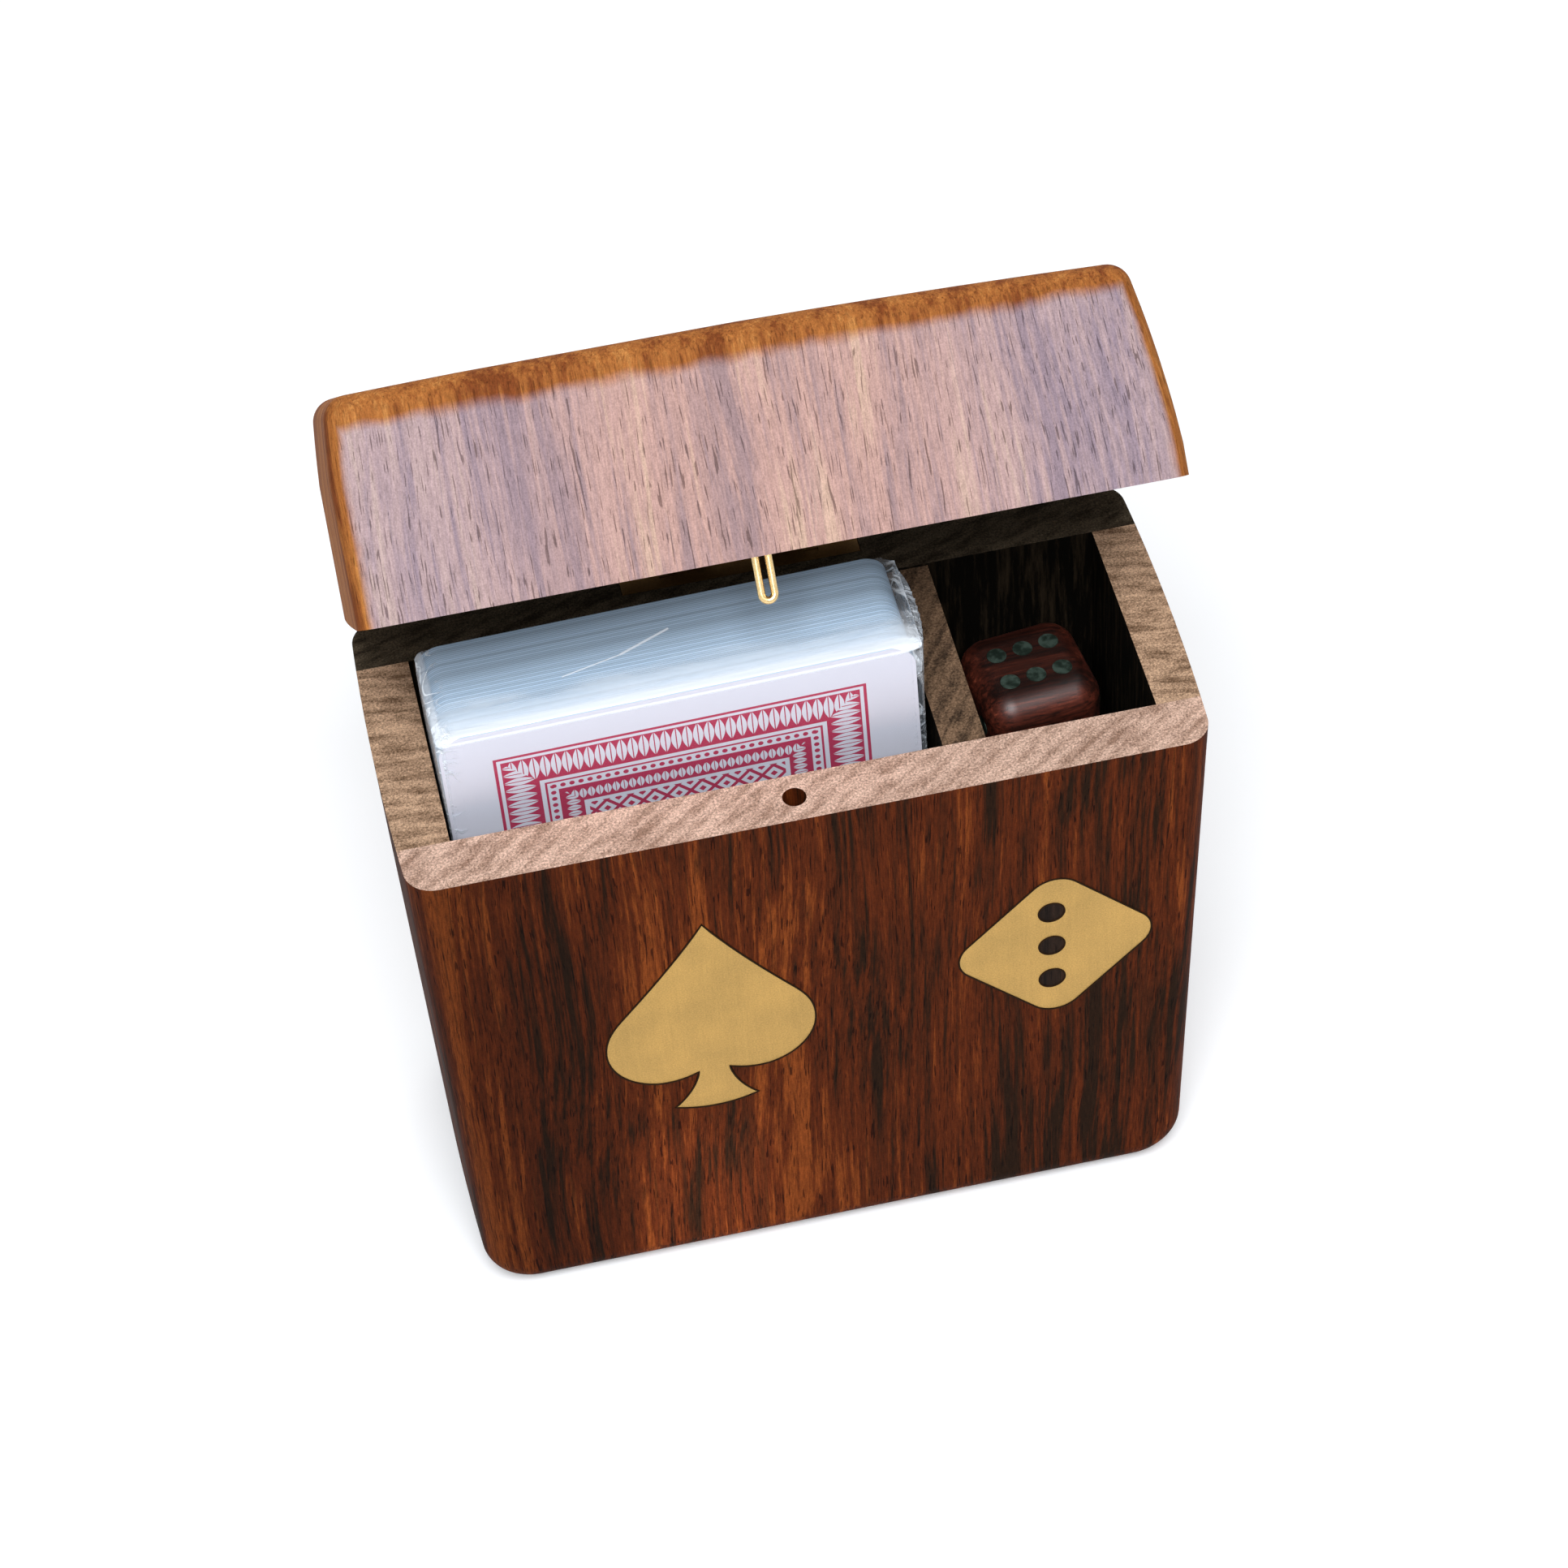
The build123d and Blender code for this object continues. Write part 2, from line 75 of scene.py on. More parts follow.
def calculate(tree, operation, first, second=0.0, clamp=False):
    """A Math node's result."""
    made = tree.nodes.new("ShaderNodeMath")
    made.operation = operation
    made.use_clamp = clamp
    plug(tree, made.inputs[0], first)
    plug(tree, made.inputs[1], second)
    return made.outputs[0]


def times(tree, first, second):
    """The product of two values."""
    return calculate(tree, "MULTIPLY", first, second)


def plus(tree, first, second):
    """The sum of two values."""
    return calculate(tree, "ADD", first, second)


def minus(tree, first, second):
    """The first value less the second."""
    return calculate(tree, "SUBTRACT", first, second)


def larger(tree, first, second):
    """The larger of two values."""
    return calculate(tree, "MAXIMUM", first, second)


def unsigned(tree, value):
    """A value without its sign."""
    return calculate(tree, "ABSOLUTE", value)


def combine(tree, operation, first, second):
    """A Vector Math node's resulting vector."""
    made = tree.nodes.new("ShaderNodeVectorMath")
    made.operation = operation
    plug(tree, made.inputs[0], first)
    plug(tree, made.inputs[1], second)
    return made.outputs[0]


def stretch(tree, vector, factors):
    """A place with its x, y and z scaled, so that a texture read there is drawn out."""
    return combine(tree, "MULTIPLY", vector, factors)


def blend_colours(tree, share, first, second, kind="MIX"):
    """Two colours mixed, or one laid over the other."""
    made = tree.nodes.new("ShaderNodeMix")
    made.data_type = "RGBA"
    made.blend_type = kind
    plug(tree, made.inputs[0], share)
    plug(tree, made.inputs[6], first)
    plug(tree, made.inputs[7], second)
    return made.outputs[2]


def cloud(tree, vector, scale, detail=2.0, roughness=0.5, distortion=0.0):
    """The grey value of a noise texture."""
    made = tree.nodes.new("ShaderNodeTexNoise")
    plug(tree, made.inputs["Vector"], vector)
    plug(tree, made.inputs["Scale"], scale)
    made.inputs["Detail"].default_value = detail
    made.inputs["Roughness"].default_value = roughness
    made.inputs["Distortion"].default_value = distortion
    return made.outputs["Fac"]


def between(tree, value, low, high):
    """0 below low, 1 above high, and smooth in between."""
    made = tree.nodes.new("ShaderNodeMapRange")
    made.interpolation_type = "SMOOTHSTEP"
    plug(tree, made.inputs["Value"], value)
    plug(tree, made.inputs["From Min"], low)
    plug(tree, made.inputs["From Max"], high)
    return made.outputs["Result"]


def split(tree, vector):
    """The x, y and z of a vector."""
    made = tree.nodes.new("ShaderNodeSeparateXYZ")
    plug(tree, made.inputs[0], vector)
    return made.outputs


def new_group(name, inputs, outputs):
    """An empty node group, with its input and output nodes."""
    group = bpy.data.node_groups.new(name, "ShaderNodeTree")
    for label, kind, value in inputs:
        socket = group.interface.new_socket(label, in_out="INPUT", socket_type=kind)
        if value is not None:
            socket.default_value = value
    for label, kind in outputs:
        group.interface.new_socket(label, in_out="OUTPUT", socket_type=kind)
    given = group.nodes.new("NodeGroupInput").outputs
    result = group.nodes.new("NodeGroupOutput").inputs
    return group, given, result


def place_group(tree, group, **values):
    """A node group in a material, with its inputs plugged."""
    made = tree.nodes.new("ShaderNodeGroup")
    made.node_tree = group
    for label, value in values.items():
        plug(tree, made.inputs[label.replace("_", " ")], value)
    return made.outputs


# rosewood that grows along z: broad dark streaks, fine fibres and short open pores
figure, given, result = new_group(
    "wood figure",
    [
        ("Vector", "NodeSocketVector", None),
        ("Streaks", "NodeSocketFloat", 150.0),
        ("Dark", "NodeSocketColor", (0.02, 0.01, 0.005, 1)),
        ("Middle", "NodeSocketColor", (0.1, 0.03, 0.01, 1)),
        ("Light", "NodeSocketColor", (0.2, 0.06, 0.02, 1)),
        ("Pores", "NodeSocketFloat", 0.7),
        ("Contrast", "NodeSocketFloat", 1.6),
    ],
    [("Color", "NodeSocketColor"), ("Height", "NodeSocketFloat")],
)

# the grain runs along z and wanders sideways as it climbs
place = given["Vector"]
wander_reach = 12 * mm
wander = cloud(figure, stretch(figure, place, (1.0, 1.0, 0.35)), 22.0, 2.0)
wander = times(figure, minus(figure, wander, 0.5), wander_reach)
drift = figure.nodes.new("ShaderNodeCombineXYZ")
plug(figure, drift.inputs[0], wander)
plug(figure, drift.inputs[1], wander)
fibres = combine(figure, "ADD", stretch(figure, place, (1.0, 1.0, 0.03)), drift.outputs[0])

# dark, middle and light wood, by broad and narrow streaks and loose patches
middle_starts, middle_full = 0.51, 0.66
light_starts, light_full = 0.65, 0.76
broad = cloud(figure, fibres, given["Streaks"], 3.0, 0.55)
narrow = cloud(figure, fibres, times(figure, given["Streaks"], 6.0), 4.0, 0.6)
patches = cloud(figure, stretch(figure, place, (1.0, 1.0, 0.45)), 48.0, 2.0)
level = plus(figure, times(figure, broad, 0.5), times(figure, narrow, 0.5))
level = plus(figure, level, times(figure, patches, 0.25))
middle_share = between(figure, level, middle_starts, middle_full)
light_share = between(figure, level, light_starts, light_full)
colour = blend_colours(figure, middle_share, given["Dark"], given["Middle"])
colour = blend_colours(figure, light_share, colour, given["Light"])

# thin dark veins, which fade where the narrow streaks are dark
vein_width = 0.022
vein_strength = 0.6
from_vein = unsigned(figure, minus(figure, cloud(figure, fibres, 260.0, 2.0, 0.5), 0.5))
vein = between(figure, from_vein, vein_width, 0.0)
vein = times(figure, vein, between(figure, narrow, 0.42, 0.6))
colour = blend_colours(figure, times(figure, vein, vein_strength), colour, given["Dark"])

# fine fibres and grains make it lighter and darker, about a mean of 1
fine = cloud(figure, stretch(figure, fibres, (1.0, 1.0, 3.6)), 4000.0, 3.0, 0.7)
grains = cloud(figure, place, 5200.0, 1.0)
shade = plus(figure, times(figure, fine, given["Contrast"]), times(figure, grains, 0.6))
shade = plus(figure, shade, minus(figure, 0.7, times(figure, given["Contrast"], 0.5)))
colour = blend_colours(figure, 1.0, colour, shade, "MULTIPLY")

# short open pores, darker and deeper than the wood round them
pore_starts, pore_full = 0.69, 0.74
pore = cloud(figure, stretch(figure, fibres, (1.0, 1.0, 2.0)), 4800.0, 0.0)
pore_depth = times(figure, between(figure, pore, pore_starts, pore_full), given["Pores"])
pore_colour = blend_colours(figure, 1.0, colour, (0.13, 0.1, 0.1, 1), "MULTIPLY")
plug(figure, result["Color"], blend_colours(figure, pore_depth, colour, pore_colour))
plug(figure, result["Height"], minus(figure, times(figure, fine, 0.3), pore_depth))

# end grain and saw marks of the rim: sandy, with slanting darker bands and specks
sawn, given, result = new_group(
    "sawn rim",
    [
        ("Vector", "NodeSocketVector", None),
        ("Slant", "NodeSocketFloat", radians(-35)),
        ("Light", "NodeSocketColor", paint(206, 184, 170)),
        ("Dark", "NodeSocketColor", paint(120, 94, 76)),
    ],
    [("Color", "NodeSocketColor"), ("Height", "NodeSocketFloat")],
)
turn = sawn.nodes.new("ShaderNodeVectorRotate")
turn.rotation_type = "Z_AXIS"
plug(sawn, turn.inputs["Vector"], given["Vector"])
plug(sawn, turn.inputs["Angle"], given["Slant"])
slanted = turn.outputs[0]
rings = sawn.nodes.new("ShaderNodeTexWave")
rings.bands_direction = "Y"
plug(sawn, rings.inputs["Vector"], slanted)
rings.inputs["Scale"].default_value = 130.0
rings.inputs["Distortion"].default_value = 5.0
rings.inputs["Detail"].default_value = 3.0
rings.inputs["Detail Scale"].default_value = 1.2
lines = cloud(sawn, stretch(sawn, slanted, (0.08, 1.0, 0.1)), 1400.0, 3.0, 0.6)
mottle = cloud(sawn, stretch(sawn, slanted, (0.55, 1.0, 0.55)), 300.0, 5.0, 0.75)
specks = cloud(sawn, given["Vector"], 3300.0, 3.0, 0.75)
tone = times(sawn, rings.outputs["Fac"], 0.07)
for share, pattern in ((0.22, lines), (0.56, mottle), (0.15, specks)):
    tone = plus(sawn, tone, times(sawn, pattern, share))
colour = blend_colours(sawn, between(sawn, tone, 0.34, 0.62), given["Dark"], given["Light"])
grit = minus(sawn, times(sawn, specks, 3.0), 0.5)
plug(sawn, result["Color"], blend_colours(sawn, 1.0, colour, grit, "MULTIPLY"))
plug(sawn, result["Height"], specks)

# dark saw marks down the walls of the slots: dark rough wood, darkened further with painted shade
shaded_slot_wall, given, result = new_group(
    "slot wall",
    [("Vector", "NodeSocketVector", None)],
    [("Color", "NodeSocketColor"), ("Height", "NodeSocketFloat")],
)
drawn_out = stretch(shaded_slot_wall, given["Vector"], (1.0, 1.0, 0.09))
marks = cloud(shaded_slot_wall, drawn_out, 900.0, 4.0, 0.7)
pale_marks = between(shaded_slot_wall, marks, 0.45, 0.7)
colour = blend_colours(shaded_slot_wall, pale_marks, paint(11, 9, 6), paint(50, 40, 29))
plug(shaded_slot_wall, result["Color"], colour)
plug(shaded_slot_wall, result["Height"], marks)

# where a board is polished, sawn or dark: told from its place and the way it faces
slot_low = Vector((-46.75, -17.0, 12.2)) * mm
slot_high = Vector((47.75, 16.25, 87.0)) * mm
just_under_rim = 86 * mm
hair = Vector((0.03, 0.03, 0.03)) * mm
polished_roughness = 0.7
sawn_roughness_more = 0.25


def inside_box(tree, place, low, high):
    """1 for places between two corners, 0 elsewhere."""
    middle = (low + high) / 2
    reach = (high - low) / 2
    offset = combine(tree, "DIVIDE", combine(tree, "SUBTRACT", place, middle), reach)
    x, y, z = split(tree, combine(tree, "ABSOLUTE", offset, (0, 0, 0)))
    widest = larger(tree, larger(tree, x, y), z)
    return calculate(tree, "LESS_THAN", widest, 1.0)


def grain_place(tree, place, turned, offset):
    """The place that the wood figure reads: grain along x where the board is turned."""
    mapping = tree.nodes.new("ShaderNodeMapping")
    plug(tree, mapping.inputs["Vector"], place)
    mapping.inputs["Location"].default_value = offset
    if turned:
        mapping.inputs["Rotation"].default_value = (0, radians(90), 0)
    return mapping.outputs[0]


def start_material(name):
    """A new material with its tree, its Principled shader and its object coordinates."""
    material = bpy.data.materials.new(name)
    material.use_nodes = True
    tree = material.node_tree
    coordinates = tree.nodes.new("ShaderNodeTexCoord")
    return material, tree, tree.nodes["Principled BSDF"], coordinates.outputs


def bump(tree, shader, height, strength, distance):
    """A bump on a shader, with its depth in metres."""
    made = tree.nodes.new("ShaderNodeBump")
    made.inputs["Strength"].default_value = strength
    made.inputs["Distance"].default_value = distance
    plug(tree, made.inputs["Height"], height)
    plug(tree, shader.inputs["Normal"], made.outputs[0])


def dress(node_name, material):
    """Give a CAD node its material."""
    slots = frame["nodes"][node_name].data.materials
    slots.clear()
    slots.append(material)


def box_board(node_name, offset, slant, rim_light, rim_dark, turned=False):
    """The material of one board of the box, with its own stretch of figure."""
    material, tree, shader, coordinates = start_material("rosewood " + node_name.replace("_", " "))
    place = coordinates["Object"]
    facing = split(tree, coordinates["Normal"])
    x, _, z = split(tree, place)
    polished = place_group(
        tree,
        figure,
        Vector=grain_place(tree, place, turned, offset),
        Streaks=230.0,
        Dark=paint(36, 21, 11),
        Middle=paint(85, 36, 14),
        Light=paint(126, 62, 25),
        Pores=0.8,
        Contrast=2.0,
    )

    # the wood is darker to the left, and paler in a low patch left of the middle
    left_shade = times(tree, between(tree, x, -14 * mm, -46 * mm), 0.36)
    from_patch = unsigned(tree, plus(tree, x, 19 * mm))
    patch = between(tree, from_patch, 14 * mm, 5 * mm)
    patch = times(tree, patch, between(tree, z, 38 * mm, 18 * mm))
    shade = plus(tree, minus(tree, 1.0, left_shade), times(tree, patch, 0.9))
    wood = blend_colours(tree, 1.0, polished["Color"], shade, "MULTIPLY")

    rim = place_group(
        tree, sawn, Vector=place, Slant=radians(slant), Light=rim_light, Dark=rim_dark
    )
    wall = place_group(tree, shaded_slot_wall, Vector=place)
    above = calculate(tree, "GREATER_THAN", z, just_under_rim)
    on_rim = times(tree, between(tree, facing["Z"], 0.6, 0.8), above)
    in_slot = inside_box(tree, place, slot_low - hair, slot_high + hair)
    colour = blend_colours(tree, in_slot, wood, wall["Color"])
    colour = blend_colours(tree, on_rim, colour, rim["Color"])
    rough = larger(tree, on_rim, in_slot)
    roughness = plus(tree, times(tree, rough, sawn_roughness_more), polished_roughness)
    plug(tree, shader.inputs["Base Color"], colour)
    plug(tree, shader.inputs["Roughness"], roughness)
    shader.inputs["Specular IOR Level"].default_value = 0.04
    height = plus(tree, polished["Height"], times(tree, rim["Height"], rough))
    bump(tree, shader, height, 0.4, 0.1 * mm)
    dress(node_name, material)


sand = paint(208, 174, 154)
sand_dark = paint(144, 113, 95)
earth = paint(190, 156, 127)
earth_dark = paint(106, 81, 61)
box_board("front_board", (0.013, 0.0, 0.031), -35, sand, sand_dark)
# the back board's rim is painted dark: painted shade of the open lid's shadow
box_board("back_board", (0.171, 0.05, 0.112), -20, paint(80, 70, 56), paint(38, 31, 23))
box_board("left_end", (0.083, 0.211, 0.02), 6, earth, earth_dark)
box_board("right_end", (0.047, 0.331, 0.07), 12, earth, earth_dark)
box_board("floor_board", (0.3, 0.12, 0.01), 0, earth, earth_dark, turned=True)
box_board("divider", (0.41, 0.02, 0.2), -55, paint(124, 98, 76), paint(44, 34, 27))


# ---------------------------------------------------------------- boards of the lid
# Five boards of the same wood. The flat front is painted a pale grey and pink, a painted
# sheen of the sky on the wood, and the rounded edges are warmer, left without it.
hinge_point = Vector(frame["joints"][0]["pos_m"])
lid_open = radians(-frame["joints"][0]["range_deg"][0])
shut_turn = Matrix.Rotation(lid_open, 3, "X")
shut_shift = hinge_point - shut_turn @ hinge_point
lid_slot_low = Vector((-46.75, -17.0, 87.3)) * mm
lid_slot_high = Vector((47.75, 16.25, 108.81)) * mm


def as_shut(tree, vector, kind, shift=(0, 0, 0)):
    """Coordinates of the lid as they are when it is shut."""
    made = tree.nodes.new("ShaderNodeMapping")
    made.vector_type = kind
    plug(tree, made.inputs["Vector"], vector)
    if kind == "POINT":
        made.inputs["Location"].default_value = shift
    made.inputs["Rotation"].default_value = (lid_open, 0, 0)
    return made.outputs[0]


def lid_board(node_name, offset, turned=False):
    """The material of one board of the lid."""
    material, tree, shader, coordinates = start_material("rosewood " + node_name.replace("_", " "))
    place = as_shut(tree, coordinates["Object"], "POINT", shut_shift)
    facing = split(tree, as_shut(tree, coordinates["Normal"], "VECTOR"))
    figure_place = grain_place(tree, place, turned, offset)
    x, _, z = split(tree, place)
    across = unsigned(tree, x)
    # painted sheen: the flat front turns more lavender towards its sides
    side_sheen = between(tree, across, 12 * mm, 46 * mm)
    # the flat front's pale grey-pink colours are a painted sheen of the sky over the wood
    face = place_group(
        tree,
        figure,
        Vector=figure_place,
        Streaks=200.0,
        Dark=blend_colours(tree, side_sheen, paint(152, 126, 126), paint(142, 124, 134)),
        Middle=blend_colours(tree, side_sheen, paint(184, 147, 137), paint(172, 147, 147)),
        Light=blend_colours(tree, side_sheen, paint(196, 163, 144), paint(180, 156, 150)),
        Pores=0.6,
        Contrast=1.0,
    )
    edge = place_group(
        tree,
        figure,
        Vector=figure_place,
        Streaks=200.0,
        Dark=paint(118, 62, 30),
        Middle=paint(160, 98, 48),
        Light=paint(178, 118, 62),
        Pores=0.4,
    )
    rim = place_group(tree, sawn, Vector=place)
    wall = place_group(tree, shaded_slot_wall, Vector=place)

    # the warm border without the painted sheen: on the rounding, and ragged towards the flat front
    flutter = minus(tree, cloud(tree, place, 160.0, 3.0), 0.5)
    ragged = times(tree, flutter, 2.4 * mm)
    rounded = between(tree, plus(tree, facing["Y"], times(tree, flutter, 0.12)), -0.985, -0.8)
    near_top = between(tree, plus(tree, z, ragged), 111.4 * mm, 113.4 * mm)
    near_side = between(tree, plus(tree, across, ragged), 51.2 * mm, 53.6 * mm)
    border = larger(tree, rounded, larger(tree, near_top, near_side))
    colour = blend_colours(tree, border, face["Color"], edge["Color"])

    in_slot = inside_box(tree, place, lid_slot_low - hair, lid_slot_high + hair)
    on_rim = between(tree, times(tree, facing["Z"], -1.0), 0.7, 0.9)
    colour = blend_colours(tree, in_slot, colour, wall["Color"])
    colour = blend_colours(tree, on_rim, colour, rim["Color"])
    rough = larger(tree, on_rim, in_slot)
    roughness = plus(tree, times(tree, rough, sawn_roughness_more), polished_roughness)
    plug(tree, shader.inputs["Base Color"], colour)
    plug(tree, shader.inputs["Roughness"], roughness)
    shader.inputs["Specular IOR Level"].default_value = 0.05
    bump(tree, shader, face["Height"], 0.4, 0.1 * mm)
    dress(node_name, material)


lid_board("lid_front_board", (0.021, 0.61, 0.013))
lid_board("lid_back_board", (0.152, 0.72, 0.05))
lid_board("lid_left_end", (0.33, 0.41, 0.02))
lid_board("lid_right_end", (0.26, 0.17, 0.06))
lid_board("lid_top_board", (0.07, 0.29, 0.14), turned=True)


# ---------------------------------------------------------------- brass
# The spade and the die in the front face, the hinge and the catch are plain brass.
# The inlays are sanded flush with the wood, so they are matt, with faint scratches.
def brass(name, colour, roughness, scratches):
    """Worn brass with fine scratches that run at a slant."""
    material, tree, shader, coordinates = start_material(name)
    slanted = tree.nodes.new("ShaderNodeMapping")
    plug(tree, slanted.inputs["Vector"], coordinates["Object"])
    slanted.inputs["Rotation"].default_value = (0, radians(35), 0)
    slanted.inputs["Scale"].default_value = (1.0, 1.0, 0.05)
    lines = cloud(tree, slanted.outputs[0], 2500.0, 2.0, 0.6)
    smudges = cloud(tree, coordinates["Object"], 120.0, 3.0, 0.6)
    grit = cloud(tree, coordinates["Object"], 4500.0, 2.0, 0.7)
    tone = plus(tree, times(tree, smudges, 0.5), times(tree, lines, 0.16))
    tone = plus(tree, tone, plus(tree, times(tree, grit, 0.8), 0.24))
    plug(tree, shader.inputs["Base Color"], blend_colours(tree, 1.0, colour, tone, "MULTIPLY"))
    shader.inputs["Metallic"].default_value = 1.0
    dulled = plus(tree, times(tree, smudges, 0.2), roughness)
    plug(tree, shader.inputs["Roughness"], dulled)
    bump(tree, shader, lines, scratches, 0.02 * mm)
    return material


inlay_brass = brass("sanded brass", paint(192, 157, 94), 0.5, 0.3)
# the hinge's brass is painted darker: painted shade under the open lid
shaded_hinge_brass = brass("hinge brass", paint(122, 93, 55), 0.5, 0.2)
wire_brass = brass("brass wire", paint(240, 208, 150), 0.12, 0.1)
dress("spade_inlay", inlay_brass)
dress("die_inlay", inlay_brass)
for name in ("leaf_lower", "leaf_upper", "screws_lower", "screws_upper", "pin"):
    dress("hinge_" + name, shaded_hinge_brass)
dress("catch_loop", wire_brass)

# the three pips in the brass die are plugs of the darkest wood, waxed smooth
material, tree, shader, coordinates = start_material("dark plug wood")
plug_figure = place_group(
    tree,
    figure,
    Vector=coordinates["Object"],
    Dark=paint(18, 12, 9),
    Middle=paint(38, 26, 19),
    Light=paint(54, 36, 26),
)
plug(tree, shader.inputs["Base Color"], plug_figure["Color"])
shader.inputs["Roughness"].default_value = 0.6
shader.inputs["Specular IOR Level"].default_value = 0.05
bump(tree, shader, plug_figure["Height"], 0.2, 0.03 * mm)
dress("die_inlay_pips", material)

# a dark hairline, painted shade in the joint, shows all round each brass inlay and each plug
material, tree, shader, coordinates = start_material("dark filler")
joint_tone = cloud(tree, coordinates["Object"], 2400.0, 2.0)
joint_shade = blend_colours(tree, joint_tone, paint(20, 13, 8), paint(52, 34, 18))
plug(tree, shader.inputs["Base Color"], joint_shade)
shader.inputs["Roughness"].default_value = 0.8
shader.inputs["Specular IOR Level"].default_value = 0.05
seam_radius = 0.14 * mm
for inlay in ("spade_inlay", "die_inlay"):
    # only the outlines of the inlay's front face are kept, and made into thin cords
    outline = frame["nodes"][inlay].data.copy()
    seam = bpy.data.objects.new(inlay.replace("inlay", "seam"), outline)
    bpy.context.collection.objects.link(seam)
    bpy.ops.object.select_all(action="DESELECT")
    seam.select_set(True)
    bpy.context.view_layer.objects.active = seam
    bpy.context.tool_settings.mesh_select_mode = (False, False, True)
    for face in outline.polygons:
        face.select = face.normal.y > -0.9
    bpy.ops.object.mode_set(mode="EDIT")
    bpy.ops.mesh.delete(type="FACE")
    bpy.ops.mesh.select_all(action="SELECT")
    bpy.ops.mesh.remove_doubles(threshold=0.001 * mm)
    bpy.ops.mesh.select_mode(type="EDGE")
    bpy.ops.mesh.select_all(action="SELECT")
    bpy.ops.mesh.region_to_loop()
    bpy.ops.mesh.select_all(action="INVERT")
    bpy.ops.mesh.delete(type="EDGE")
    bpy.ops.object.mode_set(mode="OBJECT")
    bpy.ops.object.convert(target="CURVE")
    seam.data.bevel_depth = seam_radius
    seam.data.bevel_resolution = 1
    bpy.ops.object.convert(target="MESH")
    seam.data.materials.clear()
    seam.data.materials.append(material)
    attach(seam, "box")


# ---------------------------------------------------------------- dice
# Five dice of dark red wood, tumbled smooth, with metal pips set flush, painted dark.
# Only the top one shows, and its top is painted darker than its sides, painted shade.
for number in range(1, 6):
    material, tree, shader, coordinates = start_material(f"die wood {number}")
    die_figure = place_group(
        tree,
        figure,
        Vector=grain_place(tree, coordinates["Object"], True, (0.1 * number, 0.2, 0.0)),
        Streaks=320.0,
        Dark=paint(38, 16, 10),
        Middle=paint(86, 37, 25),
        Light=paint(132, 64, 45),
        Pores=0.6,
    )
    # painted shade: the top faces of each die are darker than its sides
    facing_up = between(tree, split(tree, coordinates["Normal"])["Z"], 0.6, 0.95)
    painted_top_shade = minus(tree, 1.0, times(tree, facing_up, 0.65))
    colour = blend_colours(tree, 1.0, die_figure["Color"], painted_top_shade, "MULTIPLY")
    plug(tree, shader.inputs["Base Color"], colour)
    shader.inputs["Roughness"].default_value = 0.42
    shader.inputs["Specular IOR Level"].default_value = 0.5
    bump(tree, shader, die_figure["Height"], 0.2, 0.04 * mm)
    dress(f"die_{number}", material)

material, tree, shader, coordinates = start_material("pip metal")
tarnish = cloud(tree, coordinates["Object"], 900.0, 3.0)
polish = between(tree, tarnish, 0.35, 0.65)
# painted reflection: the metal pips are coloured a dark grey-green, for metal that mirrors its
# dark surroundings
pip_dark_reflection = blend_colours(tree, polish, paint(40, 54, 46), paint(80, 98, 88))
plug(tree, shader.inputs["Base Color"], pip_dark_reflection)
shader.inputs["Metallic"].default_value = 0.6
plug(tree, shader.inputs["Roughness"], plus(tree, times(tree, tarnish, 0.3), 0.3))
for number in range(1, 6):
    dress(f"die_{number}_pips", material)


# ---------------------------------------------------------------- deck
# 54 cards of coated paper. The edges show as fine grey-blue lines on top, and the
# front card shows its back: a crimson frame of small pointed leaves and a lattice.
card_pitch = 0.32 * mm
deck_low, deck_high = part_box("top_card")
deck_lean = radians(1.2965)
card_middle = (deck_low + deck_high) / 2

material, tree, shader, coordinates = start_material("card edges")
y = split(tree, coordinates["Object"])["Y"]
layer = calculate(tree, "DIVIDE", y, card_pitch)
layer_shade = tree.nodes.new("ShaderNodeTexWhiteNoise")
layer_shade.noise_dimensions = "1D"
plug(tree, layer_shade.inputs["W"], calculate(tree, "FLOOR", layer))
gap = unsigned(tree, minus(tree, calculate(tree, "FRACT", layer), 0.5))
line = between(tree, gap, 0.28, 0.5)
pairs = tree.nodes.new("ShaderNodeTexWhiteNoise")
pairs.noise_dimensions = "1D"
plug(tree, pairs.inputs["W"], calculate(tree, "FLOOR", times(tree, layer, 0.4)))
tone = plus(tree, times(tree, layer_shade.outputs["Value"], 0.25), 0.7)
tone = plus(tree, tone, times(tree, pairs.outputs["Value"], 0.13))
tone = times(tree, tone, minus(tree, 1.0, times(tree, line, 0.5)))
# painted shade: the card edges darken towards the back, under the open lid
lid_shade_to_back = minus(tree, 1.04, times(tree, between(tree, y, -10 * mm, 4 * mm), 0.24))
tone = times(tree, tone, lid_shade_to_back)
colour = blend_colours(tree, 1.0, paint(186, 212, 236), tone, "MULTIPLY")
plug(tree, shader.inputs["Base Color"], colour)
shader.inputs["Roughness"].default_value = 0.6
dress("playing_cards", material)

# the card's own millimetres: across and up from its middle
material, tree, shader, coordinates = start_material("card back")
upright = tree.nodes.new("ShaderNodeMapping")
upright.vector_type = "TEXTURE"
plug(tree, upright.inputs["Vector"], coordinates["Object"])
upright.inputs["Location"].default_value = card_middle
upright.inputs["Rotation"].default_value = (0, -deck_lean, 0)
upright.inputs["Scale"].default_value = (mm, mm, mm)
across, _, up = split(tree, upright.outputs[0])
frame_half_width = 24.75
frame_half_height = 39.0


def stripe(low, high, value):
    """1 where a value lies between two others."""
    above = calculate(tree, "GREATER_THAN", value, low)
    return times(tree, above, calculate(tree, "LESS_THAN", value, high))


